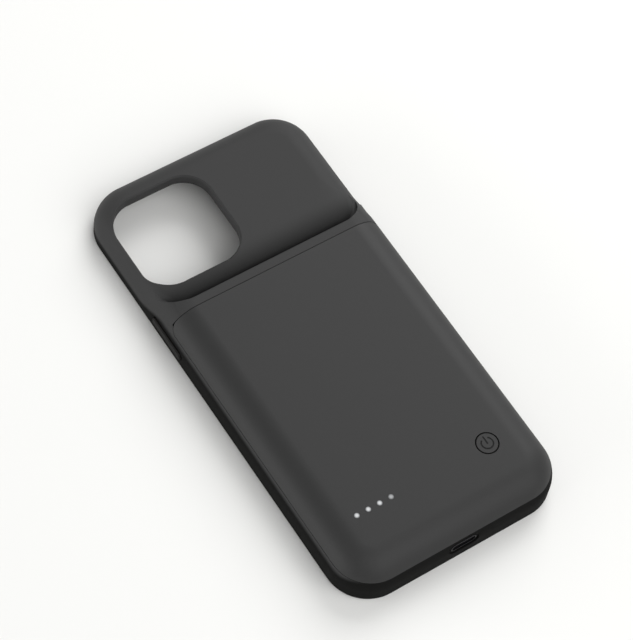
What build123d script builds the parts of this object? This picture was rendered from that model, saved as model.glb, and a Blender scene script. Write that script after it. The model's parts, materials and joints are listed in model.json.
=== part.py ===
from build123d import *
from math import asin, pi, sin, sqrt
import os

# Battery case for a 6.1 inch phone, lying on its open front. Millimetres.
# +X is to the right seen from the back, +Y points to the camera end, +Z is out of the back.
# The origin is the middle of the outline, at the height of the front lip.

# Phone that slides into the pocket
phone_length = 146.7
phone_width = 71.5
phone_thickness = 7.65
phone_corner = 11.3
pocket_gap = 0.15

# Soft shell: walls round the pocket, and the lip that holds the phone's front
side_wall = 2.85
top_wall = 2.7
chin = 7.3
lip_thickness = 1.2
lip_overhang = 1.5
shell_corner = 13.5
lip_chamfer = 0.7
lip_inner_chamfer = 0.4

# Battery hump and camera plateau, each a block with a large round: their rise over the pocket's roof
hump_rise = 6.4
hump_round = 10.4
plateau_rise = 3.8
plateau_round = 9.6

# Bending groove between the two: the hump's end face, the floor, the plateau's rounded end
camera_to_hump = 7.95
hump_face_lean = 0.9
hump_edge_chamfer = 0.4
groove_floor_rise = 1.4
groove_width = 1.1
plateau_end_reach = 9.6
plateau_end_corner = 8.0
plateau_end_steps = 3

# Rails that carry the hump's shoulders on past the groove and sink into the plateau's
rail_foot_drop = 0.5
rail_run = 13.0
rail_overrun = 3.0

# Parting of the hard back cover from the soft shell
parting_rise = 0.4
seam_behind_end = 2.7
seam_corner = 3.4
seam_gap = 0.2
cover_wall = 1.3
bay_chamfer = 6.8
rim_width = 0.85
fit_gap = 0.1

# Inner tray that carries the battery and the boards
tray_thickness = 1.0
chin_room_width = 22.0
chin_room_floor = 1.4
port_wall = 1.8
chin_wall = 0.9

# Camera opening
camera_side_inset = 0.55
camera_top_inset = 6.05
camera_size = 33.5
camera_corner = 9.5
camera_rim_chamfer = 0.5

# Side keys, each through a slot in the soft wall, held by a flange from inside
key_height = 3.0
key_middle = 5.0
key_gap = 0.25
key_flange = 0.7
key_flange_side = 0.6
key_flange_room = 0.3
key_nub_side = 1.0
key_travel = 0.5
key_edge = 0.35
side_key_from_top = 53.5
side_key_length = 16.0
side_key_proud = 0.6
volume_up_from_top = 47.0
volume_down_from_top = 60.0
volume_key_length = 9.6
volume_key_proud = 0.2

# Opening over the phone's ring switch
switch_window_from_top = 34.0
switch_window_length = 9.0
switch_window_height = 4.0

# Sound slots that open to the front beside the plug
sound_slot_from_side = 12.75
sound_slot_length = 11.0
sound_slot_width = 2.4
sound_slot_top = 6.5

# Battery cell with the ledge that holds its protection board
cell_side_inset = 9.75
cell_top_gap = 0.3
cell_round_share = 0.39
cell_end_gap = 1.4
ledge_length = 4.2
ledge_thickness = 0.7
tape_thickness = 0.2
tape_width = 14.0
tape_spacing = 30.0
tape_end_margin = 5.0
protection_width = 28.0
protection_thickness = 0.8
protection_margin = 0.3

# Flat metal leads from the protection board to the main board
lead_width = 2.4
lead_thickness = 0.3
lead_spacing = 9.0
lead_landing = 2.6

# Main board on two low ribs of the tray
board_side_inset = 7.75
board_length = 20.5
board_cover_gap = 0.8
board_thickness = 0.8
board_corner = 10.0
board_top_corner = 1.5
board_cell_gap = 2.0
rib_height = 0.4
rib_width = 3.0
rib_side_inset = 4.5
rib_top_inset = 1.5
rib_bottom_inset = 4.5

# Charge lights and their clear guide
light_count = 4
light_from_side = 13.45
light_pitch = 4.0
light_from_end = 20.9
light_pin = 1.7
light_hole_gap = 0.05
light_recess = 0.05
guide_share = 0.48
guide_width = 2.4
lamp_length = 1.6
lamp_width = 0.8
lamp_height = 0.6

# Power button over a push switch
button_from_side = 17.45
button_from_end = 21.1
button_diameter = 6.9
button_gap = 0.25
button_travel = 0.35
button_flange_side = 0.8
button_flange = 0.7
button_flange_gap = 0.2
button_stem = 2.4
button_chamfer = 0.2
switch_side = 4.6
switch_share = 0.6
switch_plunger = 2.0
switch_plunger_share = 0.25
switch_seat_share = 0.15
switch_bore_gap = 0.1

# Parts soldered to the main board
chip_x = -3.0
chip_from_end = 16.5
chip_side = 5.0
chip_height = 0.9
chip_mark = 0.45
coil_x = 8.5
coil_from_end = 15.5
coil_side = 6.6
coil_top_gap = 0.7
coil_chamfer = 0.8
capacitor_length = 3.2
capacitor_width = 1.6
capacitor_height = 1.3
capacitor_x = -13.0
capacitor_from_end = 12.5
capacitor_pitch = 2.6
capacitor_count = 3

# Plug for the phone, on an upright board in the chin
plug_board_width = 19.0
plug_board_thickness = 0.8
plug_board_back = 5.2
plug_board_slot_gap = 0.3
plug_width = 6.65
plug_thickness = 1.5
plug_reach = 6.7
plug_tip_round = 0.5
plug_base_width = 9.0
plug_base_height = 3.2
plug_base_round = 0.8
contact_count = 8
contact_pitch = 0.65
contact_width = 0.42
contact_length = 2.6
contact_depth = 0.15
contact_from_tip = 1.5

# Charging port in the bottom wall
port_width = 9.0
port_height = 3.2
port_roof_gap = 2.2
port_wall_thickness = 0.3
port_recess = 0.4
port_hole_gap = 0.2
port_frame_side = 0.7
port_frame_depth = 0.6
tongue_width = 6.7
tongue_thickness = 0.7
tongue_setback = 0.8

# Sizes worked out from the values above
pocket_width = phone_width + 2 * pocket_gap
pocket_length = phone_length + 2 * pocket_gap
pocket_corner = phone_corner + pocket_gap
case_width = pocket_width + 2 * side_wall
case_length = pocket_length + top_wall + chin
far = 3 * case_length
wall_side_x = case_width / 2
wall_top_y = case_length / 2
wall_bottom_y = -case_length / 2
pocket_y = (chin - top_wall) / 2
pocket_bottom_y = wall_bottom_y + chin
pocket_roof = lip_thickness + phone_thickness + pocket_gap
hump_height = pocket_roof + hump_rise
plateau_height = pocket_roof + plateau_rise
groove_floor = pocket_roof + groove_floor_rise
parting_height = pocket_roof + parting_rise
port_middle = pocket_roof - port_roof_gap
camera_x = camera_side_inset + camera_size / 2 - pocket_width / 2
camera_y = wall_top_y - top_wall - camera_top_inset - camera_size / 2
hump_end = camera_y - camera_size / 2 - camera_to_hump
groove_start = hump_end + hump_face_lean
plateau_start = groove_start + groove_width
rail_foot = hump_height - hump_round - rail_foot_drop
rail_slope = (hump_height - plateau_height) / rail_run
seam_y = hump_end - seam_behind_end
bay_top = hump_height - cover_wall
tray_top = pocket_roof + tray_thickness
side_key_y = wall_top_y - side_key_from_top
volume_up_y = wall_top_y - volume_up_from_top
volume_down_y = wall_top_y - volume_down_from_top
switch_window_y = wall_top_y - switch_window_from_top
key_skin = side_wall - key_flange - key_travel - key_flange_room
sound_slot_x = wall_side_x - sound_slot_from_side
board_floor = tray_top + rib_height
board_face = board_floor + board_thickness
board_room = bay_top - board_face
board_width = case_width - 2 * board_side_inset
board_bottom_y = wall_bottom_y + cover_wall + bay_chamfer - board_room + board_cover_gap
board_top_y = board_bottom_y + board_length
rib_x = board_width / 2 - rib_side_inset
cell_width = case_width - 2 * cell_side_inset
cell_top_y = seam_y - cell_end_gap
ledge_bottom_y = board_top_y + board_cell_gap
cell_bottom_y = ledge_bottom_y + ledge_length
cell_length = cell_top_y - cell_bottom_y
cell_floor = tray_top + tape_thickness
cell_thickness = bay_top - cell_floor - cell_top_gap
cell_round = cell_round_share * cell_thickness
light_first_x = light_from_side - wall_side_x
light_y = wall_bottom_y + light_from_end
guide_depth = guide_share * (board_room - lamp_height)
button_x = wall_side_x - button_from_side
button_y = wall_bottom_y + button_from_end
switch_room = board_room - button_flange_gap - button_flange
switch_height = switch_share * switch_room
switch_plunger_height = switch_plunger_share * switch_room
switch_plunger_seat = switch_seat_share * switch_room
chip_y = wall_bottom_y + chip_from_end
coil_y = wall_bottom_y + coil_from_end
coil_height = board_room - coil_top_gap
capacitor_y = wall_bottom_y + capacitor_from_end
plug_middle = lip_thickness + (phone_thickness + pocket_gap) / 2
plug_board_y = wall_bottom_y + plug_board_back + plug_board_thickness / 2


# Blocks over the case's outline: height, and radius of the round on their upper edges
hump = (hump_height, hump_round)
plateau = (plateau_height, plateau_round)


# Inset of a block's outline at a height, which grows above the foot of its round
def shoulder_inset(height, form):
    top, radius = form
    rise = max(0, height - top + radius)
    return radius - sqrt(radius * radius - rise * rise)


# Rounded outline of the case, drawn in by an inset, at a height
def case_section(inset, height):
    size = RectangleRounded(case_width - 2 * inset, case_length - 2 * inset, shell_corner - inset)
    return Pos(0, 0, height) * size


# Block over the whole outline with its upper edges rounded and its front edges chamfered
def rounded_block(form):
    top, radius = form
    body = extrude(case_section(0, 0), top)
    body = fillet(body.edges().group_by(Axis.Z)[-1], radius)
    return chamfer(body.edges().group_by(Axis.Z)[0], lip_chamfer)


# Block between two heights and two places along the case, wider than the case
def slab(y_low, y_high, z_low, z_high):
    size = Box(far, y_high - y_low, z_high - z_low)
    return Pos(0, (y_low + y_high) / 2, (z_low + z_high) / 2) * size


# Block by its middle in plan and its two heights
def block(x, y, size_x, size_y, z_low, z_high):
    return Pos(x, y, (z_low + z_high) / 2) * Box(size_x, size_y, z_high - z_low)


# Upright round bar by its two heights
def bar(x, y, diameter, z_low, z_high):
    return Pos(x, y, (z_low + z_high) / 2) * Cylinder(diameter / 2, z_high - z_low)


# Side view of what the hard cover takes from the hump, with the soft corner left at the seam
def cover_side(gap):
    low = parting_height - gap
    end = seam_y - seam_gap + gap
    above = 2 * hump_height
    view = make_face(Polyline((-far, low), (end, low), (end, above), (-far, above), close=True))
    corner = view.vertices().sort_by_distance((end, low, 0))[0]
    return extrude(Plane.YZ * fillet(corner, seam_corner + gap), far, both=True)


# One section of the room round the plateau's rounded end, open to the camera end
def groove_section(spread, height):
    half_width = wall_side_x - shoulder_inset(groove_floor, plateau) + groove_width + spread
    low = groove_start - spread
    sheet = Pos(0, (low + far) / 2) * Rectangle(2 * half_width, far - low)
    sheet = fillet(sheet.vertices().group_by(Axis.Y)[0], plateau_end_corner + groove_width + spread)
    return Pos(0, 0, height) * sheet


# Room above the groove's floor: its wall leans, and flares at the hump's upper edge
def groove_room():
    edge_floor = hump_height - hump_edge_chamfer
    foot = groove_section(0, groove_floor)
    edge = groove_section(hump_face_lean - hump_edge_chamfer, edge_floor)
    rim = groove_section(hump_face_lean, hump_height)
    return loft([foot, edge], ruled=True) + loft([edge, rim], ruled=True)


# Shoulders of the hump carried on past its end, sinking as they go
def side_rails():
    view = Pos(0, (rail_foot + hump_height) / 2) * Rectangle(case_width, hump_height - rail_foot)
    view = fillet(view.vertices().group_by(Axis.Y)[-1], hump_round)
    face = Pos(0, hump_end, 0) * (Plane.XZ * view)
    return extrude(face, rail_run + rail_overrun, dir=(0, 1, -rail_slope))


# Battery hump with its rails, cut off at the groove
def hump_form():
    form = rounded_block(hump) & slab(-far, hump_end, 0, far)
    return form + side_rails() - groove_room()


# One section of the plateau's cap, whose lower end draws back as it rises
def cap_section(height):
    inset = shoulder_inset(height, plateau)
    rise = (height - groove_floor) / (plateau_height - groove_floor)
    low = plateau_start + plateau_end_reach * (1 - sqrt(1 - rise * rise))
    high = wall_top_y - inset
    sheet = Pos(0, (low + high) / 2) * Rectangle(case_width - 2 * inset, high - low)
    sheet = fillet(sheet.vertices().group_by(Axis.Y)[-1], shell_corner - inset)
    sheet = fillet(sheet.vertices().group_by(Axis.Y)[0], plateau_end_corner)
    return Pos(0, 0, height) * sheet


# Heights of the cap's sections, closer together where its end turns over
def cap_heights():
    foot = plateau_height - plateau_round
    start = asin((groove_floor - foot) / plateau_round)
    turns = [start + (pi / 2 - start) * step / plateau_end_steps for step in range(plateau_end_steps + 1)]
    return [foot + plateau_round * sin(turn) for turn in turns]


# Camera plateau: the floor of the groove over the whole outline, then the cap
def plateau_form():
    floor = rounded_block(plateau) & slab(-far, far, 0, groove_floor)
    return floor + loft([cap_section(height) for height in cap_heights()])


# Outer form of the whole case
def outer_form():
    return plateau_form() + hump_form()


# Hollow for the battery and boards, under the hard cover
def battery_bay():
    hollow = extrude(case_section(cover_wall, pocket_roof - bay_chamfer), bay_top - pocket_roof + bay_chamfer)
    hollow = chamfer(hollow.edges().group_by(Axis.Z)[-1], bay_chamfer)
    return hollow & slab(-far, seam_y, pocket_roof, far)


# Outline of the soft rim's inner side, where the tray's flange lies
def flange_section(gap, height):
    return case_section(shoulder_inset(parting_height, hump) + rim_width + gap, height)


# Slot for a key through one side wall, stepped for its flange
def key_slot(side, y, length):
    skin_x = wall_side_x - key_skin
    pocket_x = pocket_width / 2
    width = length + 2 * key_gap
    height = key_height + 2 * key_gap
    flange_width = width + 2 * key_flange_side
    flange_height = height + 2 * key_flange_side
    outer = block(wall_side_x, y, 2 * key_skin, width, key_middle - height / 2, key_middle + height / 2)
    outer = fillet(outer.edges().filter_by(Axis.X), height / 2 - key_edge)
    inner = block((skin_x + pocket_x) / 2, y, skin_x - pocket_x, flange_width,
                  key_middle - flange_height / 2, key_middle + flange_height / 2)
    slot = outer + inner
    return slot if side > 0 else mirror(slot, Plane.YZ)


# Hard key cap: the pad outside, its flange and the nub that reaches the phone's key
def key_cap(side, y, length, proud):
    skin_x = wall_side_x - key_skin - fit_gap
    pad = block((wall_side_x + proud + skin_x) / 2, y, wall_side_x + proud - skin_x, length,
                key_middle - key_height / 2, key_middle + key_height / 2)
    pad = fillet(pad.edges().filter_by(Axis.X), key_height / 2 - key_edge)
    pad = chamfer(pad.faces().sort_by(Axis.X)[-1].edges(), key_edge)
    flange_height = key_height + 2 * key_flange_side
    flange = block(skin_x - key_flange / 2, y, key_flange, length + 2 * key_flange_side,
                   key_middle - flange_height / 2, key_middle + flange_height / 2)
    nub_low = pocket_width / 2 + fit_gap
    nub_high = skin_x - key_flange
    nub = block((nub_low + nub_high) / 2, y, nub_high - nub_low, length - 2 * key_nub_side,
                key_middle - key_height / 2 + key_nub_side, key_middle + key_height / 2 - key_nub_side)
    cap = pad + flange + nub
    return cap if side > 0 else mirror(cap, Plane.YZ)


# Openings round the edge: ring switch window and sound slots
def edge_openings():
    window = block(wall_side_x, switch_window_y, 3 * side_wall, switch_window_length,
                   key_middle - switch_window_height / 2, key_middle + switch_window_height / 2)
    window = fillet(window.edges().filter_by(Axis.X), switch_window_height / 2 - key_edge)
    openings = [window]
    for x in (-sound_slot_x, sound_slot_x):
        slot = extrude(Pos(x, pocket_bottom_y - sound_slot_width, -lip_thickness)
                       * SlotOverall(sound_slot_length, sound_slot_width), sound_slot_top + lip_thickness)
        throat = block(x, pocket_bottom_y - sound_slot_width / 2, sound_slot_length - sound_slot_width,
                       sound_slot_width + pocket_gap, 2 * lip_thickness, sound_slot_top)
        openings += [slot, throat]
    return openings


# Flat oval seen from the bottom end, run along the case between two places
def port_oval(width, height, y_low, y_high):
    face = Plane.XZ * Pos(0, port_middle) * SlotOverall(width, height)
    return Pos(0, y_high, 0) * extrude(face, y_high - y_low)


# Edges of the front mouth on the face that the case lies on
def mouth_edges(shell):
    front = shell.faces().sort_by(Axis.Z)[0]
    return front.inner_wires()[0].edges()


# Outer form with the camera opening through it, its upper edge chamfered
def opened_form():
    outline = RectangleRounded(camera_size, camera_size, camera_corner)
    form = outer_form() - extrude(Pos(camera_x, camera_y, plug_middle) * outline, plateau_height)
    reach = camera_size / 2 + fit_gap
    edges = form.edges().filter_by_position(Axis.X, camera_x - reach, camera_x + reach)
    edges = edges.filter_by_position(Axis.Y, camera_y - reach, camera_y + reach)
    rim = edges.filter_by_position(Axis.Z, pocket_roof, plateau_height + fit_gap)
    return chamfer(rim - edges.filter_by(Axis.Z), camera_rim_chamfer)


# Soft shell: side walls, lip, groove and plateau, moulded in one piece
def soft_shell():
    pocket = Pos(0, pocket_y, lip_thickness) * RectangleRounded(pocket_width, pocket_length, pocket_corner)
    mouth = Pos(0, pocket_y) * RectangleRounded(pocket_width - 2 * lip_overhang,
                                                pocket_length - 2 * lip_overhang,
                                                pocket_corner - lip_overhang)
    chin_room_low = wall_bottom_y + port_wall
    shell = opened_form() - cover_side(seam_gap) - battery_bay()
    shell -= extrude(flange_section(0, pocket_roof), far) & slab(-far, seam_y, 0, hump_height)
    shell -= extrude(pocket, pocket_roof - lip_thickness)
    shell -= extrude(mouth, lip_thickness)
    shell = chamfer(mouth_edges(shell), lip_inner_chamfer)
    shell -= block(0, (chin_room_low + pocket_bottom_y) / 2, chin_room_width,
                   pocket_bottom_y - chin_room_low, chin_room_floor, pocket_roof)
    shell -= key_slot(-1, side_key_y, side_key_length)
    for y in (volume_up_y, volume_down_y):
        shell -= key_slot(1, y, volume_key_length)
    for opening in edge_openings():
        shell -= opening
    hole_side = 2 * port_hole_gap
    frame_side = 2 * (port_hole_gap + port_frame_side)
    shell -= port_oval(port_width + hole_side, port_height + hole_side, 2 * wall_bottom_y, chin_room_low)
    shell -= port_oval(port_width + frame_side, port_height + frame_side,
                       2 * wall_bottom_y, wall_bottom_y + port_frame_depth)
    return shell


# Places of the charge lights along the row
def light_places():
    return [light_first_x + light_pitch * index for index in range(light_count)]


# Hard back cover with the holes for the charge lights and the power button
def back_cover():
    cover = (hump_form() & cover_side(0)) - battery_bay()
    for x in light_places():
        cover -= bar(x, light_y, light_pin + 2 * light_hole_gap, bay_top - cover_wall, 2 * hump_height)
    return cover - bar(button_x, button_y, button_diameter + 2 * button_gap, bay_top - cover_wall,
                       2 * hump_height)


# Tray plate with its clamped flange, ribs for the board and the wall that closes the chin
def inner_tray():
    plate_inset = cover_wall + bay_chamfer - (bay_top - tray_top) + fit_gap
    flange = extrude(flange_section(fit_gap, pocket_roof), parting_height - pocket_roof)
    plate = extrude(case_section(plate_inset, pocket_roof), tray_thickness)
    tray = (flange + plate) & slab(-far, seam_y - fit_gap, 0, hump_height)
    tray += block(0, pocket_bottom_y - chin_wall / 2, chin_room_width - 2 * fit_gap, chin_wall,
                  chin_room_floor + fit_gap, pocket_roof)
    rib_low = board_bottom_y + rib_bottom_inset
    rib_high = board_top_y - rib_top_inset
    for x in (-rib_x, rib_x):
        tray += block(x, (rib_low + rib_high) / 2, rib_width, rib_high - rib_low, tray_top, board_floor)
    tray -= block(0, plug_board_y, plug_board_width + 2 * plug_board_slot_gap,
                  plug_board_thickness + 2 * plug_board_slot_gap, chin_room_floor, tray_top)
    base_width = plug_base_width + 2 * fit_gap
    base_height = plug_base_height + 2 * fit_gap
    tray -= block(0, pocket_bottom_y - chin_wall / 2, base_width, 2 * chin_wall,
                  plug_middle - base_height / 2, plug_middle + base_height / 2)
    return tray


# Pouch cell with the thin ledge of its sealed end
def battery_cell():
    body = block(0, (cell_top_y + cell_bottom_y) / 2, cell_width, cell_length,
                 cell_floor, cell_floor + cell_thickness)
    body = fillet(body.edges().filter_by(Axis.Y), cell_round)
    ledge = block(0, cell_bottom_y - ledge_length / 2, cell_width - 2 * cell_round, ledge_length,
                  cell_floor, cell_floor + ledge_thickness)
    return body + ledge


# Two strips of tape that bond the cell to the tray
def cell_tape():
    length = cell_length - 2 * tape_end_margin
    middle = (cell_top_y + cell_bottom_y) / 2
    return [block(x, middle, tape_width, length, tray_top, cell_floor)
            for x in (-tape_spacing / 2, tape_spacing / 2)]


# Protection board on the cell's ledge
def protection_board():
    length = ledge_length - 2 * protection_margin
    floor = cell_floor + ledge_thickness
    return block(0, cell_bottom_y - ledge_length / 2, protection_width, length,
                 floor, floor + protection_thickness)


# Flat lead that steps from the protection board to the main board
def battery_lead(x):
    high = cell_floor + ledge_thickness + protection_thickness
    under = [(cell_bottom_y - protection_margin, high), (ledge_bottom_y, high),
             (board_top_y, board_face), (board_top_y - lead_landing, board_face)]
    over = [(y, z + lead_thickness) for y, z in reversed(under)]
    view = make_face(Polyline(*under, *over, close=True))
    return Pos(x, 0, 0) * extrude(Plane.YZ * view, lead_width / 2, both=True)


# Main board, its lower corners rounded to suit the cover
def main_board():
    height = board_top_y - board_bottom_y
    sheet = Pos(0, (board_top_y + board_bottom_y) / 2) * Rectangle(board_width, height)
    sheet = fillet(sheet.vertices().group_by(Axis.Y)[0], board_corner)
    sheet = fillet(sheet.vertices().group_by(Axis.Y)[-1], board_top_corner)
    return extrude(Pos(0, 0, board_floor) * sheet, board_thickness)


# Charging controller with a chamfer that marks its first pin
def controller_chip():
    chip = block(chip_x, chip_y, chip_side, chip_side, board_face, board_face + chip_height)
    corner = chip.edges().filter_by(Axis.Z).sort_by(Axis.X)[0]
    return chamfer(corner, chip_mark)


# Boost coil in its moulded square body
def boost_coil():
    coil = block(coil_x, coil_y, coil_side, coil_side, board_face, board_face + coil_height)
    return chamfer(coil.edges().filter_by(Axis.Z), coil_chamfer)


# Row of capacitors
def board_capacitors():
    return [block(capacitor_x, capacitor_y + index * capacitor_pitch, capacitor_length, capacitor_width,
                  board_face, board_face + capacitor_height) for index in range(capacitor_count)]


# Lamps of the charge lights
def indicator_lamps():
    return [block(x, light_y, lamp_length, lamp_width, board_face, board_face + lamp_height)
            for x in light_places()]


# Clear guide: a strip under the cover with one pin through each hole
def light_guide():
    places = light_places()
    guide = block((places[0] + places[-1]) / 2, light_y, places[-1] - places[0] + guide_width, guide_width,
                  bay_top - guide_depth, bay_top)
    for x in places:
        guide += bar(x, light_y, light_pin, bay_top - guide_depth, hump_height - light_recess)
    return guide


# Body of the push switch, bored for its plunger
def switch_body():
    top = board_face + switch_height
    body = block(button_x, button_y, switch_side, switch_side, board_face, top)
    return body - bar(button_x, button_y, switch_plunger + 2 * switch_bore_gap,
                      top - switch_plunger_seat - button_travel - switch_bore_gap, top)


# Plunger of the push switch, which the button presses
def switch_plunger_pin():
    top = board_face + switch_height
    return bar(button_x, button_y, switch_plunger, top - switch_plunger_seat, top + switch_plunger_height)


# Round power button with a flange under the cover and a stem on the switch
def power_button():
    flange_top = bay_top - button_flange_gap
    stem_floor = board_face + switch_height + switch_plunger_height
    cap = bar(button_x, button_y, button_diameter, flange_top - button_flange, hump_height)
    cap = chamfer(cap.edges().filter_by(GeomType.CIRCLE).sort_by(Axis.Z)[-1], button_chamfer)
    cap += bar(button_x, button_y, button_diameter + 2 * button_flange_side,
               flange_top - button_flange, flange_top)
    return cap + bar(button_x, button_y, button_stem, stem_floor, flange_top)


# Upright board in the chin that carries the plug and the port, soldered under the main board
def plug_board():
    return block(0, plug_board_y, plug_board_width, plug_board_thickness,
                 chin_room_floor + 2 * fit_gap, board_floor)


# Contact places across the plug
def contact_places():
    return [(index - (contact_count - 1) / 2) * contact_pitch for index in range(contact_count)]


# Blocks of the plug's contacts on both faces
def plug_contacts():
    tip_y = pocket_bottom_y + plug_reach
    middle_y = tip_y - contact_from_tip - contact_length / 2
    contacts = []
    for x in contact_places():
        for side in (-1, 1):
            face = plug_middle + side * plug_thickness / 2
            inner = face - side * contact_depth
            contacts.append(block(x, middle_y, contact_width, contact_length,
                                  min(face, inner), max(face, inner)))
    return contacts


# Flat plug with a rounded tip, bedded on the upright board
def phone_plug():
    start_y = plug_board_y + plug_board_thickness / 2
    tip_y = pocket_bottom_y + plug_reach
    blade = block(0, (start_y + tip_y) / 2, plug_width, tip_y - start_y,
                  plug_middle - plug_thickness / 2, plug_middle + plug_thickness / 2)
    tip = blade.faces().sort_by(Axis.Y)[-1].edges()
    blade = fillet(tip, plug_tip_round)
    for contact in plug_contacts():
        blade -= contact
    return blade


# Moulded base round the plug, in the slot of the tray's chin wall
def plug_base():
    start_y = plug_board_y + plug_board_thickness / 2
    base = block(0, (start_y + pocket_bottom_y) / 2, plug_base_width, pocket_bottom_y - start_y,
                 plug_middle - plug_base_height / 2, plug_middle + plug_base_height / 2)
    base = fillet(base.edges().filter_by(Axis.Y), plug_base_round)
    return base - block(0, (start_y + pocket_bottom_y) / 2, plug_width, far,
                        plug_middle - plug_thickness / 2, plug_middle + plug_thickness / 2)


# Drawn metal shell of the charging port, closed at the board
def port_shell():
    mouth_y = wall_bottom_y + port_recess
    back_y = plug_board_y - plug_board_thickness / 2
    wall = 2 * port_wall_thickness
    shell = port_oval(port_width, port_height, mouth_y, back_y)
    return shell - port_oval(port_width - wall, port_height - wall, 2 * wall_bottom_y,
                             back_y - port_wall_thickness)


# Tongue with the port's contacts, standing in the shell
def port_tongue():
    mouth_y = wall_bottom_y + port_recess + tongue_setback
    back_y = plug_board_y - plug_board_thickness / 2 - port_wall_thickness
    return block(0, (mouth_y + back_y) / 2, tongue_width, back_y - mouth_y,
                 port_middle - tongue_thickness / 2, port_middle + tongue_thickness / 2)


nodes = {
    "soft_shell": soft_shell(),
    "back_cover": back_cover(),
    "inner_tray": inner_tray(),
    "battery_cell": battery_cell(),
    "cell_tape": cell_tape(),
    "protection_board": protection_board(),
    "positive_lead": battery_lead(-lead_spacing / 2),
    "negative_lead": battery_lead(lead_spacing / 2),
    "main_board": main_board(),
    "controller_chip": controller_chip(),
    "boost_coil": boost_coil(),
    "board_capacitors": board_capacitors(),
    "indicator_lamps": indicator_lamps(),
    "light_guide": light_guide(),
    "switch_body": switch_body(),
    "switch_plunger": switch_plunger_pin(),
    "power_button": power_button(),
    "plug_board": plug_board(),
    "phone_plug": phone_plug(),
    "plug_contacts": plug_contacts(),
    "plug_base": plug_base(),
    "port_shell": port_shell(),
    "port_tongue": port_tongue(),
    "side_key": key_cap(-1, side_key_y, side_key_length, side_key_proud),
    "volume_up_key": key_cap(1, volume_up_y, volume_key_length, volume_key_proud),
    "volume_down_key": key_cap(1, volume_down_y, volume_key_length, volume_key_proud),
}

os.makedirs("parts", exist_ok=True)
for name, shape in nodes.items():
    if isinstance(shape, list):
        shape = Compound(children=shape)
    export_step(shape, f"parts/{name}.step")
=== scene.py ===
import json
import math

import bmesh
import bpy
from mathutils import Matrix, Vector


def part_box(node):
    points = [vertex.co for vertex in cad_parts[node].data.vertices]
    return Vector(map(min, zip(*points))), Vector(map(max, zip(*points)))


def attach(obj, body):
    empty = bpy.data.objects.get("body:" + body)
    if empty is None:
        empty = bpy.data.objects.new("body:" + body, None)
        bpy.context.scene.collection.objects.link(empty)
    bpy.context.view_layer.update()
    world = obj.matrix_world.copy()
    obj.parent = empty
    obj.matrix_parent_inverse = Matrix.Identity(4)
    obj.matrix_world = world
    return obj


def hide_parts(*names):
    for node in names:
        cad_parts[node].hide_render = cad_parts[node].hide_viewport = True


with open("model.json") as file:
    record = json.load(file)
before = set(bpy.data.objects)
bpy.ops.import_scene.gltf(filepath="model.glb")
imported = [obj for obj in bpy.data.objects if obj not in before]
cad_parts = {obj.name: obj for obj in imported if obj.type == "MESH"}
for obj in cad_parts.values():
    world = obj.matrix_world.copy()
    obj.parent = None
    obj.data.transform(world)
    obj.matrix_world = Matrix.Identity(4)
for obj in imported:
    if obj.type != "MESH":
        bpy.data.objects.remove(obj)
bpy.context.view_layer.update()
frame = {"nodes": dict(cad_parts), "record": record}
nodes = frame["nodes"]
slotOf = {part["node"]: part["material_slot"] for part in frame["record"]["subparts"]}
bodyOf = {node: body for body, group in frame["record"]["behaviour"]["bodies"].items() for node in group}
mm = 0.001  # the frame is in metres
print("frame loaded with", len(nodes), "nodes")


def inMetres(values):
    return [value * mm for value in values]


def linear(hexColour):
    # sRGB hex to linear colour
    values = [int(hexColour[i:i + 2], 16) / 255 for i in (1, 3, 5)]
    return [v / 12.92 if v <= 0.04045 else ((v + 0.055) / 1.055) ** 2.4 for v in values] + [1.0]


def addNode(tree, kind, settings=None, inputs=None):
    # settings go on the node, inputs are values or sockets to link from
    node = tree.nodes.new(kind)
    for name, value in (settings or {}).items():
        setattr(node, name, value)
    for name, value in (inputs or {}).items():
        if isinstance(value, bpy.types.NodeSocket):
            tree.links.new(value, node.inputs[name])
        else:
            node.inputs[name].default_value = value
    return node


def sceneObject(name, data):
    # linked to the scene at the origin, unturned and unscaled
    item = bpy.data.objects.new(name, data)
    bpy.context.scene.collection.objects.link(item)
    return item


def finishedMesh(holder):
    # the holder's mesh with its modifiers applied, and the holder is removed
    evaluated = holder.evaluated_get(bpy.context.evaluated_depsgraph_get())
    mesh = bpy.data.meshes.new_from_object(evaluated)
    bpy.data.objects.remove(holder)
    return mesh


# what the materials share

grainDetail = 2.0  # finer layers of noise in every grain
# sockets that share their name with others of the same node go by their place
colourA, colourB, mixedColour = 6, 7, 2  # Mix node
vectorIn, vectorFrom, vectorTo = 6, 7, 8  # Map Range node


def startMaterial(name, inputs):
    # one Principled shader with the values that are the same all over
    material = bpy.data.materials.new(name)
    material.use_nodes = True
    tree = material.node_tree
    tree.nodes.clear()
    shader = addNode(tree, "ShaderNodeBsdfPrincipled", inputs=inputs)
    addNode(tree, "ShaderNodeOutputMaterial", inputs={"Surface": shader.outputs["BSDF"]})
    return material, tree, shader


def addGrain(tree, shader, grainSize, height):
    # fine grain as a bump: grainSize and height in mm
    place = addNode(tree, "ShaderNodeTexCoord")
    grain = addNode(tree, "ShaderNodeTexNoise", inputs={
        "Vector": place.outputs["Object"], "Scale": 1 / (grainSize * mm), "Detail": grainDetail})
    bump = addNode(tree, "ShaderNodeBump", inputs={
        "Height": grain.outputs["Fac"], "Distance": height * mm})
    tree.links.new(bump.outputs["Normal"], shader.inputs["Normal"])
    return grain


# material of the soft shell

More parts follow.
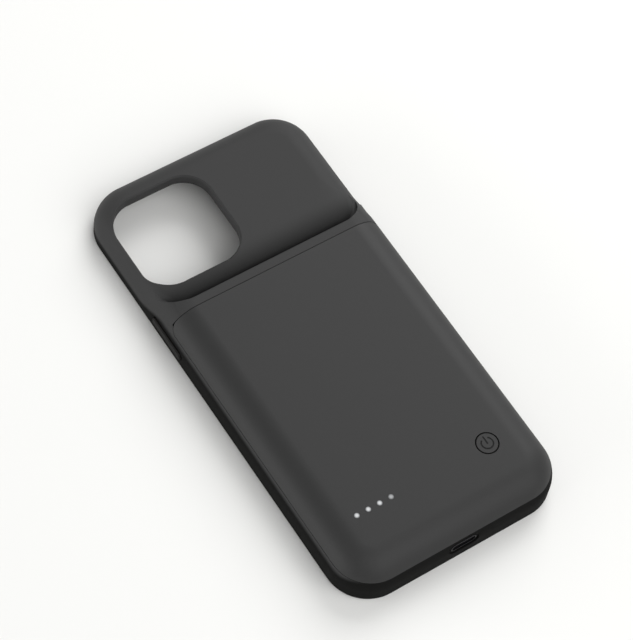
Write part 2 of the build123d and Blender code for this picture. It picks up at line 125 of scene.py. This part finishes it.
shellFinish = {
    "colour": "#363636", "roughness": 0.58, "gloss": 0.14, "ior": 1.5,
    "grain": 0.45, "grainHeight": 0.018,  # mm
    # the sides' colour is painted shade with a faint painted warm reflection; their higher roughness is a
    # duller etch
    "sideShadeColour": "#0a0a09", "sideRoughness": 0.9,
    "sideFrom": 9.2, "sideTo": 7.2,  # mm above the floor, where the painted shade and duller etch of the sides begin and are full
    "bottomFrom": 10.5, "bottomTo": 2.5,  # mm from the bottom end
    "bottomRise": 1.6,  # mm that the painted shade and duller etch reach higher there
    "plateauFrom": 2.6, "plateauTo": 16.6,  # mm past the end of the cover
    "plateauDrop": 4.2,  # mm that the painted shade and duller etch stay lower there
    # painted shade in the bending groove: where its middle lies and how far it fades
    "groovePast": 5.1, "grooveBelow": 3.8,  # mm past the end of the cover and below the shell's top
    "grooveHalf": (30.5, 0, 1.6), "grooveFade": (35, 9, 2.4),  # mm from the groove's middle
    "grooveShadeShare": 0.55}  # how much of the sides' painted shade and duller etch the groove has


def shareOutsideShadeAndEtch(tree, place):
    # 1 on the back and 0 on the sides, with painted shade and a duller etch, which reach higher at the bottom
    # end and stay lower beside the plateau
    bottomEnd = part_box("soft_shell")[0].y
    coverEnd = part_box("back_cover")[1].y
    axes = addNode(tree, "ShaderNodeSeparateXYZ", inputs={"Vector": place})
    atBottom = addNode(tree, "ShaderNodeMapRange", {"interpolation_type": "SMOOTHSTEP"}, {
        "Value": axes.outputs["Y"],
        "From Min": bottomEnd + shellFinish["bottomTo"] * mm,
        "From Max": bottomEnd + shellFinish["bottomFrom"] * mm,
        "To Min": -shellFinish["bottomRise"] * mm, "To Max": 0.0})
    atPlateau = addNode(tree, "ShaderNodeMapRange", {"interpolation_type": "SMOOTHSTEP"}, {
        "Value": axes.outputs["Y"],
        "From Min": coverEnd + shellFinish["plateauFrom"] * mm,
        "From Max": coverEnd + shellFinish["plateauTo"] * mm,
        "To Min": 0.0, "To Max": shellFinish["plateauDrop"] * mm})
    shift = addNode(tree, "ShaderNodeMath", {"operation": "ADD"}, {
        0: atBottom.outputs["Result"], 1: atPlateau.outputs["Result"]})
    height = addNode(tree, "ShaderNodeMath", {"operation": "ADD"}, {
        0: axes.outputs["Z"], 1: shift.outputs["Value"]})
    side = addNode(tree, "ShaderNodeMapRange", {"interpolation_type": "SMOOTHSTEP"}, {
        "Value": height.outputs["Value"],
        "From Min": shellFinish["sideTo"] * mm, "From Max": shellFinish["sideFrom"] * mm})
    return side.outputs["Result"]


def shareOutsideGrooveShadeAndEtch(tree, place):
    # 1 away from the bending groove, less on the plateau's rounded end and down in the groove, which get
    # painted shade and a duller etch
    middle = (0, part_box("back_cover")[1].y + shellFinish["groovePast"] * mm,
              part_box("soft_shell")[1].z - shellFinish["grooveBelow"] * mm)
    fromMiddle = addNode(tree, "ShaderNodeVectorMath", {"operation": "SUBTRACT"}, {0: place, 1: middle})
    away = addNode(tree, "ShaderNodeVectorMath", {"operation": "ABSOLUTE"}, {0: fromMiddle.outputs["Vector"]})
    fades = addNode(tree, "ShaderNodeMapRange", {
        "data_type": "FLOAT_VECTOR", "interpolation_type": "SMOOTHSTEP"}, {
        vectorIn: away.outputs["Vector"],
        vectorFrom: inMetres(shellFinish["grooveHalf"]), vectorTo: inMetres(shellFinish["grooveFade"])})
    fade = addNode(tree, "ShaderNodeSeparateXYZ", inputs={"Vector": fades.outputs["Vector"]})
    endOrSide = addNode(tree, "ShaderNodeMath", {"operation": "MAXIMUM"}, {
        0: fade.outputs["X"], 1: fade.outputs["Y"]})
    outside = addNode(tree, "ShaderNodeMath", {"operation": "MAXIMUM"}, {
        0: endOrSide.outputs["Value"], 1: fade.outputs["Z"]})
    share = addNode(tree, "ShaderNodeMapRange", inputs={
        "Value": outside.outputs["Value"], "To Min": 1 - shellFinish["grooveShadeShare"], "To Max": 1.0})
    return share.outputs["Result"]


def mouldedSoftPlastic():
    # TPU moulded against a spark-eroded tool: a dull black with a broad sheen on the back.
    # The sides are drawn as a coarser etch, a guess, for their duller finish; their darker, slightly warm
    # colour is painted shade with a faint painted warm reflection.
    # The painted shade and duller etch fade in on the plateau's rounded end, down into the bending groove.
    # The real grain is about 0.1 mm, drawn coarser so that it shows.
    material, tree, shader = startMaterial("moulded TPU, spark-eroded matte", {
        "IOR": shellFinish["ior"], "Specular IOR Level": shellFinish["gloss"]})
    addGrain(tree, shader, shellFinish["grain"], shellFinish["grainHeight"])
    place = addNode(tree, "ShaderNodeTexCoord").outputs["Object"]
    back = addNode(tree, "ShaderNodeMath", {"operation": "MULTIPLY"}, {
        0: shareOutsideShadeAndEtch(tree, place), 1: shareOutsideGrooveShadeAndEtch(tree, place)})
    # this mix paints shade into the colour of the sides and of the groove
    colour = addNode(tree, "ShaderNodeMix", {"data_type": "RGBA"}, {
        "Factor": back.outputs["Value"],
        colourA: linear(shellFinish["sideShadeColour"]), colourB: linear(shellFinish["colour"])})
    dullness = addNode(tree, "ShaderNodeMapRange", inputs={
        "Value": back.outputs["Value"],
        "To Min": shellFinish["sideRoughness"], "To Max": shellFinish["roughness"]})
    tree.links.new(colour.outputs[mixedColour], shader.inputs["Base Color"])
    tree.links.new(dullness.outputs["Result"], shader.inputs["Roughness"])
    return material


# materials of the other slots: grain sizes and heights in mm, drawn coarser where the real grain is too fine

slotFinishes = {
    # even dark grey, soft wide highlights
    "cover": {"name": "polycarbonate, soft-touch lacquer", "colour": "#242424", "mottle": "#282828",
              "roughness": 0.58, "gloss": 0.34, "ior": 1.5, "grain": 0.45, "grainHeight": 0.014},
    # black satin, smoother than the etched wall round it
    "key": {"name": "polycarbonate, moulded satin", "colour": "#131211", "mottle": "#171615",
            "roughness": 0.5, "gloss": 0.07, "ior": 1.58, "grain": 0.3, "grainHeight": 0.002},
    # dull black floor of the pocket, with a fine even grain
    "tray": {"name": "ABS, fine moulded texture", "colour": "#232323", "mottle": "#272726",
             "roughness": 0.55, "ior": 1.53, "grain": 0.4, "grainHeight": 0.006},
    # satin silver, softly blurred, with faint waves where the foil was pressed
    "cell_pouch": {"name": "aluminium foil laminate", "colour": "#c9cacc", "mottle": "#b9babd",
                   "roughness": 0.38, "metallic": 1.0, "grain": 6.0, "grainHeight": 0.04},
    # milky film, flat
    "tape": {"name": "acrylic adhesive film", "colour": "#d9d6c8", "mottle": "#cfccbd",
             "roughness": 0.6, "ior": 1.47, "grain": 1.2, "grainHeight": 0.004},
    # glossy green, faintly mottled by the glass under the resist
    "circuit_board": {"name": "glass epoxy with solder resist", "colour": "#0f4a2a", "mottle": "#0c4025",
                      "roughness": 0.3, "ior": 1.55, "grain": 0.5, "grainHeight": 0.003},
    # warm bright metal, slightly uneven from rolling
    "nickel": {"name": "rolled nickel strip", "colour": "#cfc9bd", "mottle": "#c3bcaf",
               "roughness": 0.32, "metallic": 1.0, "grain": 0.5, "grainHeight": 0.002},
    # cool bright metal, slightly uneven from drawing
    "steel": {"name": "drawn stainless steel", "colour": "#b9bab8", "mottle": "#adaeac",
              "roughness": 0.3, "metallic": 1.0, "grain": 0.4, "grainHeight": 0.002},
    # dim metal, a thin glint on its rim
    "dark_steel": {"name": "drawn steel, black plated", "colour": "#38383a", "mottle": "#303032",
                   "roughness": 0.35, "metallic": 1.0, "grain": 0.4, "grainHeight": 0.002},
    # matte black, slightly sandy
    "moulded_chip": {"name": "moulded black epoxy", "colour": "#1c1c1e", "mottle": "#222224",
                     "roughness": 0.5, "ior": 1.55, "grain": 0.15, "grainHeight": 0.004},
    # tan, slightly shiny, speckled
    "ceramic": {"name": "fired ceramic", "colour": "#b39a78", "mottle": "#a58c6b",
                "roughness": 0.45, "ior": 1.7, "grain": 0.2, "grainHeight": 0.003},
    # glossy off-white
    "lamp": {"name": "clear lamp resin", "colour": "#f2f0e6", "mottle": "#e8e5d8",
             "roughness": 0.2, "ior": 1.5, "grain": 0.3, "grainHeight": 0.001},
    # pale and glossy
    "clear_guide": {"name": "clear moulded acrylic", "colour": "#dfe6ea", "mottle": "#d5dde2",
                    "roughness": 0.2, "ior": 1.49, "grain": 1.0, "grainHeight": 0.001},
    # warm mirror, a little paler in spots
    "gold": {"name": "gold-plated contact", "colour": "#d9ae55", "mottle": "#e0bb6e",
             "roughness": 0.25, "metallic": 1.0, "grain": 0.5, "grainHeight": 0.001}}
shaderSockets = {"roughness": "Roughness", "metallic": "Metallic",
                 "ior": "IOR", "gloss": "Specular IOR Level"}


def grainedFinish(finish):
    # one grain pattern gives both the bump and the slight change of colour
    inputs = {socket: finish[word] for word, socket in shaderSockets.items() if word in finish}
    material, tree, shader = startMaterial(finish["name"], inputs)
    grain = addGrain(tree, shader, finish["grain"], finish["grainHeight"])
    colour = addNode(tree, "ShaderNodeMix", {"data_type": "RGBA"}, {
        "Factor": grain.outputs["Fac"],
        colourA: linear(finish["colour"]), colourB: linear(finish["mottle"])})
    tree.links.new(colour.outputs[mixedColour], shader.inputs["Base Color"])
    return material


bySlot = {"soft_shell": mouldedSoftPlastic()}
for slot, finish in slotFinishes.items():
    bySlot[slot] = grainedFinish(finish)
for name, node in nodes.items():
    node.data.materials.clear()
    node.data.materials.append(bySlot[slotOf[name]])
print("materials made for", len(bySlot), "slots")


# smooth copies of the curved nodes

smoothing = {"weld": 0.001, "sharpAngle": 24, "flatWeight": 80}  # mm, degrees, weight of large faces
curvedNodes = ("soft_shell", "back_cover", "inner_tray", "side_key", "volume_up_key", "volume_down_key",
               "phone_plug", "plug_base", "port_shell", "port_tongue")


def weldedCopy(nodeName):
    # the node's triangles joined at their corners
    mesh = nodes[nodeName].data.copy()
    stored = mesh.attributes.get("custom_normal")  # these belong to the loose triangles
    if stored:
        mesh.attributes.remove(stored)
    work = bmesh.new()
    work.from_mesh(mesh)
    bmesh.ops.remove_doubles(work, verts=work.verts, dist=smoothing["weld"] * mm)
    work.to_mesh(mesh)
    work.free()
    return mesh


def evenShading(mesh):
    # smooth within faces, crisp at real edges, flat faces kept flat
    mesh.polygons.foreach_set("use_smooth", [True] * len(mesh.polygons))
    mesh.set_sharp_from_angle(angle=math.radians(smoothing["sharpAngle"]))
    holder = sceneObject("holder", mesh)
    weighted = holder.modifiers.new("flat faces first", "WEIGHTED_NORMAL")
    weighted.mode = "FACE_AREA_WITH_ANGLE"
    weighted.keep_sharp = True
    weighted.weight = smoothing["flatWeight"]
    return finishedMesh(holder)


def placePiece(name, mesh, body, slot, *replaced):
    piece = sceneObject(name, mesh)
    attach(piece, body)
    if replaced:
        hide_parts(*replaced)


for nodeName in curvedNodes:
    mesh = evenShading(weldedCopy(nodeName))
    placePiece(nodeName + "_smooth", mesh, bodyOf[nodeName], slotOf[nodeName], nodeName)
print("smooth copies made:", len(curvedNodes))


# power button with its engraved sign

powerSign = {
    "ring": 1.84, "stroke": 0.48, "depth": 0.12,  # mm
    "barFrom": -0.25, "barTo": 2.5,  # mm from the centre
    "gapHalf": 34, "segments": 64,  # degrees to each side of the bar, steps round the ring
    "tolerance": 0.01,  # mm, tells the engraving from the top face
    "topFacing": 0.95}  # least upward part of the normal of a top face
# in the engraving: darker and duller than the lacquer
inkFinish = {"name": "pad-printed ink", "colour": "#212121", "mottle": "#272727",
             "roughness": 0.8, "gloss": 0.1, "ior": 1.5, "grain": 0.3, "grainHeight": 0.002}


def ringOutline(centre):
    # open ring whose gap faces +Y
    radius, stroke, segments = powerSign["ring"], powerSign["stroke"], powerSign["segments"]
    half = math.radians(powerSign["gapHalf"])
    angles = [math.pi / 2 + half + (2 * math.pi - 2 * half) * i / segments for i in range(segments + 1)]
    outer = [(centre.x + (radius + stroke / 2) * mm * math.cos(a),
              centre.y + (radius + stroke / 2) * mm * math.sin(a)) for a in angles]
    inner = [(centre.x + (radius - stroke / 2) * mm * math.cos(a),
              centre.y + (radius - stroke / 2) * mm * math.sin(a)) for a in reversed(angles)]
    return outer + inner


def barOutline(centre):
    # upright stroke in the ring's gap
    half = powerSign["stroke"] * mm / 2
    low = centre.y + powerSign["barFrom"] * mm
    high = centre.y + powerSign["barTo"] * mm
    return [(centre.x - half, low), (centre.x + half, low), (centre.x + half, high), (centre.x - half, high)]


def prism(outline, low, high):
    # upright solid over a closed outline of (x, y) points
    work = bmesh.new()
    lower = [work.verts.new((x, y, low)) for x, y in outline]
    upper = [work.verts.new((x, y, high)) for x, y in outline]
    work.faces.new(list(reversed(lower)))
    work.faces.new(upper)
    count = len(outline)
    for i in range(count):
        j = (i + 1) % count
        work.faces.new((lower[i], lower[j], upper[j], upper[i]))
    bmesh.ops.recalc_face_normals(work, faces=work.faces)
    mesh = bpy.data.meshes.new("prism")
    work.to_mesh(mesh)
    work.free()
    return mesh


def engrave(mesh, cutters):
    # cuts each stroke into the button
    base = sceneObject("base", mesh)
    tools = [sceneObject("tool", cutter) for cutter in cutters]
    for tool in tools:
        cut = base.modifiers.new("cut", "BOOLEAN")
        cut.operation = "DIFFERENCE"
        cut.solver = "EXACT"
        cut.object = tool
    result = finishedMesh(base)
    for tool in tools:
        bpy.data.objects.remove(tool)
    return result


def powerButton():
    # lacquered top, ink in the strokes, and a darker rim that shows as a ring in the gap round the button
    low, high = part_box("power_button")
    centre = (low + high) / 2
    floor = high.z - powerSign["depth"] * mm
    above = high.z + powerSign["depth"] * mm
    strokes = [prism(outline, floor, above) for outline in (ringOutline(centre), barOutline(centre))]
    mesh = engrave(weldedCopy("power_button"), strokes)
    finishes = {"top": bySlot["cover"], "stroke": grainedFinish(inkFinish), "rim": bySlot["key"]}
    kinds = list(finishes)
    mesh.materials.clear()
    for finish in finishes.values():
        mesh.materials.append(finish)
    reach = (powerSign["barTo"] + powerSign["stroke"]) * mm
    tolerance = powerSign["tolerance"] * mm
    for face in mesh.polygons:
        away = Vector((face.center.x - centre.x, face.center.y - centre.y)).length
        if away < reach:
            kind = "stroke" if floor - tolerance < face.center.z < high.z - tolerance else "top"
        else:
            kind = "top" if face.normal.z > powerSign["topFacing"] else "rim"
        face.material_index = kinds.index(kind)
    placePiece("power_button_engraved", evenShading(mesh), "power_button", "cover", "power_button")


powerButton()
print("power button engraved")


# rows of one shape by Geometry Nodes

def rowTree(name, addShape):
    # copies of one shape along X, from the first one's middle
    tree = bpy.data.node_groups.new(name, "GeometryNodeTree")
    tree.is_modifier = True
    for socket, kind in (("Count", "NodeSocketInt"), ("Pitch", "NodeSocketFloat"),
                         ("Size", "NodeSocketVector"), ("Start", "NodeSocketVector"),
                         ("Finish", "NodeSocketMaterial")):
        tree.interface.new_socket(socket, in_out="INPUT", socket_type=kind)
    tree.interface.new_socket("Geometry", in_out="OUTPUT", socket_type="NodeSocketGeometry")
    given = addNode(tree, "NodeGroupInput")
    step = addNode(tree, "ShaderNodeCombineXYZ", inputs={"X": given.outputs["Pitch"]})
    row = addNode(tree, "GeometryNodeMeshLine", inputs={
        "Count": given.outputs["Count"], "Start Location": given.outputs["Start"],
        "Offset": step.outputs["Vector"]})
    shape = addShape(tree, given.outputs["Size"])
    copies = addNode(tree, "GeometryNodeInstanceOnPoints", inputs={
        "Points": row.outputs["Mesh"], "Instance": shape.outputs["Mesh"]})
    real = addNode(tree, "GeometryNodeRealizeInstances", inputs={"Geometry": copies.outputs["Instances"]})
    finish = addNode(tree, "GeometryNodeSetMaterial", inputs={
        "Geometry": real.outputs["Geometry"], "Material": given.outputs["Finish"]})
    addNode(tree, "NodeGroupOutput", inputs={"Geometry": finish.outputs["Geometry"]})
    return tree


def runTree(tree, values):
    # runs a tree on an empty mesh and returns the result as a plain mesh
    holder = sceneObject("holder", bpy.data.meshes.new("holder"))
    modifier = holder.modifiers.new("tree", "NODES")
    modifier.node_group = tree
    for item in tree.interface.items_tree:
        if item.in_out == "INPUT" and item.name in values:
            modifier[item.identifier] = values[item.name]
    return finishedMesh(holder)


# charge lights: a lens in each pin of the light guide, the last one lit weakly

chargeLights = {
    "count": 4, "weakCount": 1, "segments": 40,
    "pitch": 4.0, "diameter": 1.7, "rise": 0.03, "seat": 0.3,  # mm
    "colour": "#4a4b4c", "roughness": 0.3, "ior": 1.49,
    "light": "#f6f8fa", "glow": 0.64, "weakGlow": 0.34,
    "fadeFrom": 0.15, "fadeTo": 1.25}  # shares of the radius


def litAcrylic(name, glow, row):
    # smoked acrylic lit from below by a white lamp: bright in the middle, fading to the rim of each lens
    material, tree, shader = startMaterial(name, {
        "Base Color": linear(chargeLights["colour"]), "Roughness": chargeLights["roughness"],
        "IOR": chargeLights["ior"], "Emission Color": linear(chargeLights["light"])})
    place = addNode(tree, "ShaderNodeTexCoord")
    fromFirst = addNode(tree, "ShaderNodeVectorMath", {"operation": "SUBTRACT"}, {
        0: place.outputs["Object"], 1: row["first"]})
    axes = addNode(tree, "ShaderNodeSeparateXYZ", inputs={"Vector": fromFirst.outputs["Vector"]})
    along = addNode(tree, "ShaderNodeMath", {"operation": "PINGPONG"}, {
        0: axes.outputs["X"], 1: row["pitch"] / 2})
    flat = addNode(tree, "ShaderNodeCombineXYZ", inputs={
        "X": along.outputs["Value"], "Y": axes.outputs["Y"]})
    away = addNode(tree, "ShaderNodeVectorMath", {"operation": "LENGTH"}, {0: flat.outputs["Vector"]})
    fade = addNode(tree, "ShaderNodeMapRange", {"interpolation_type": "SMOOTHERSTEP"}, {
        "Value": away.outputs["Value"], "From Min": row["radius"] * chargeLights["fadeFrom"],
        "From Max": row["radius"] * chargeLights["fadeTo"], "To Min": glow, "To Max": 0.0})
    tree.links.new(fade.outputs["Result"], shader.inputs["Emission Strength"])
    return material


def lensShape(tree, size):
    # round lens as wide as the size's X and as high as its Z
    axes = addNode(tree, "ShaderNodeSeparateXYZ", inputs={"Vector": size})
    radius = addNode(tree, "ShaderNodeMath", {"operation": "DIVIDE"}, {0: axes.outputs["X"], 1: 2.0})
    return addNode(tree, "GeometryNodeMeshCylinder", inputs={
        "Vertices": chargeLights["segments"], "Radius": radius.outputs["Value"], "Depth": axes.outputs["Z"]})


def chargeLightRow():
    low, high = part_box("light_guide")
    pitch = chargeLights["pitch"] * mm
    rowStart = (low.x + high.x) / 2 - pitch * (chargeLights["count"] - 1) / 2
    across = chargeLights["diameter"] * mm
    height = (chargeLights["seat"] + chargeLights["rise"]) * mm
    middle = high.z + chargeLights["rise"] * mm - height / 2
    tree = rowTree("lens row", lensShape)
    row = {"first": (rowStart, (low.y + high.y) / 2, 0), "pitch": pitch, "radius": across / 2}
    litFull = litAcrylic("smoked acrylic, lit", chargeLights["glow"], row)
    litWeak = litAcrylic("smoked acrylic, lit weakly", chargeLights["weakGlow"], row)
    fullCount = chargeLights["count"] - chargeLights["weakCount"]
    for name, first, count, finish in (("charge_lights_full", 0, fullCount, litFull),
                                       ("charge_light_weak", fullCount, chargeLights["weakCount"], litWeak)):
        mesh = runTree(tree, {
            "Count": count, "Pitch": pitch, "Size": (across, across, height),
            "Start": (rowStart + first * pitch, (low.y + high.y) / 2, middle), "Finish": finish})
        placePiece(name, evenShading(mesh), "case", "clear_guide")


chargeLightRow()
print("charge lights placed")


# contacts on both faces of the port's tongue

portContacts = {"count": 12, "pitch": 0.5, "width": 0.26, "length": 2.4, "fromTip": 0.5,
                "rise": 0.03, "seat": 0.05}  # mm


def stripShape(tree, size):
    # flat strip of the whole size
    return addNode(tree, "GeometryNodeMeshCube", inputs={"Size": size})


def portContactRows():
    low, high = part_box("port_tongue")
    pitch = portContacts["pitch"] * mm
    rowStart = (low.x + high.x) / 2 - pitch * (portContacts["count"] - 1) / 2
    thick = (portContacts["seat"] + portContacts["rise"]) * mm
    size = (portContacts["width"] * mm, portContacts["length"] * mm, thick)
    y = low.y + portContacts["fromTip"] * mm + size[1] / 2
    lift = portContacts["rise"] * mm - thick / 2
    tree = rowTree("contact row", stripShape)
    for name, z in (("port_contacts_upper", high.z + lift), ("port_contacts_lower", low.z - lift)):
        mesh = runTree(tree, {
            "Count": portContacts["count"], "Pitch": pitch, "Size": size,
            "Start": (rowStart, y, z), "Finish": bySlot["gold"]})
        placePiece(name, mesh, "case", "gold")


portContactRows()
print("port contacts placed")


# stage: floor, light and camera

studio = {
    "floor": "#e6e6e4", "floorRoughness": 0.9, "floorSize": 4.0,  # m
    "floorDrop": 0.03,  # mm below the case
    "world": "#ffffff", "worldStrength": 0.35,
    "target": (0, 0, 0.01)}  # m, where the softboxes point
softboxes = {
    # place and size in m, power in W
    "main softbox": {"place": (0.85, 0.6, 0.8), "size": (0.9, 0.9), "power": 12.9},
    "front panel": {"place": (0.25, -0.95, 1.0), "size": (1.6, 1.4), "power": 15.8},
    "left panel": {"place": (-1.0, 0.3, 0.2), "size": (1.4, 0.36), "power": 6.6}}


def studioFloor():
    # dull white paper without a sheen
    half = studio["floorSize"] / 2
    level = -studio["floorDrop"] * mm
    corners = [(-half, -half, level), (half, -half, level), (half, half, level), (-half, half, level)]
    mesh = bpy.data.meshes.new("floor")
    mesh.from_pydata(corners, [], [(0, 1, 2, 3)])
    floor = sceneObject("floor", mesh)
    paper = startMaterial("matte white paper", {
        "Base Color": linear(studio["floor"]), "Roughness": studio["floorRoughness"]})[0]
    mesh.materials.append(paper)


def studioWorld():
    world = bpy.data.worlds.new("studio")
    world.use_nodes = True
    sky = world.node_tree.nodes["Background"]
    sky.inputs["Color"].default_value = linear(studio["world"])
    sky.inputs["Strength"].default_value = studio["worldStrength"]
    bpy.context.scene.world = world
    bpy.context.scene.view_settings.view_transform = "Standard"  # keeps the hex colours true


def softbox(name, place, size, power):
    # area light that faces the target
    light = bpy.data.lights.new(name, "AREA")
    light.shape = "RECTANGLE"
    light.size, light.size_y = size
    light.energy = power
    lamp = sceneObject(name, light)
    lamp.location = place
    lamp.rotation_mode = "QUATERNION"
    lamp.rotation_quaternion = (Vector(studio["target"]) - Vector(place)).to_track_quat("-Z", "Y")


photoView = {
    "azimuth": -42.40, "elevation": 59.99, "roll": 10.85,  # degrees
    "distance": 787.36, "sensor": 36.0,  # mm
    "image": (633, 640), "middle": (317.05, 353.39),  # pixels, where the frame's origin lies in the image
    "pixelsPerMm": 3.264,  # at the origin
    "clip": (0.05, 20.0)}  # m


def photoCamera():
    azimuth, elevation, roll = (math.radians(photoView[k]) for k in ("azimuth", "elevation", "roll"))
    back = Vector((math.sin(azimuth) * math.cos(elevation), -math.cos(azimuth) * math.cos(elevation),
                   math.sin(elevation)))
    right = Vector((math.cos(azimuth), math.sin(azimuth), 0))
    up = back.cross(right)
    across = right * math.cos(roll) + up * math.sin(roll)
    above = up * math.cos(roll) - right * math.sin(roll)
    lens = bpy.data.cameras.new("photo view")
    wide, tall = photoView["image"]
    longSide = max(wide, tall)
    lens.sensor_width = photoView["sensor"]
    lens.lens = photoView["pixelsPerMm"] * photoView["distance"] / longSide * photoView["sensor"]
    lens.shift_x = -(photoView["middle"][0] - wide / 2) / longSide
    lens.shift_y = (photoView["middle"][1] - tall / 2) / longSide
    lens.clip_start, lens.clip_end = photoView["clip"]
    camera = sceneObject("photo view", lens)
    turned = Matrix((across, above, back)).transposed().to_4x4()
    turned.translation = back * photoView["distance"] * mm
    camera.matrix_world = turned
    bpy.context.scene.camera = camera


studioFloor()
studioWorld()
for name, box in softboxes.items():
    softbox(name, **box)
photoCamera()
print("stage set")
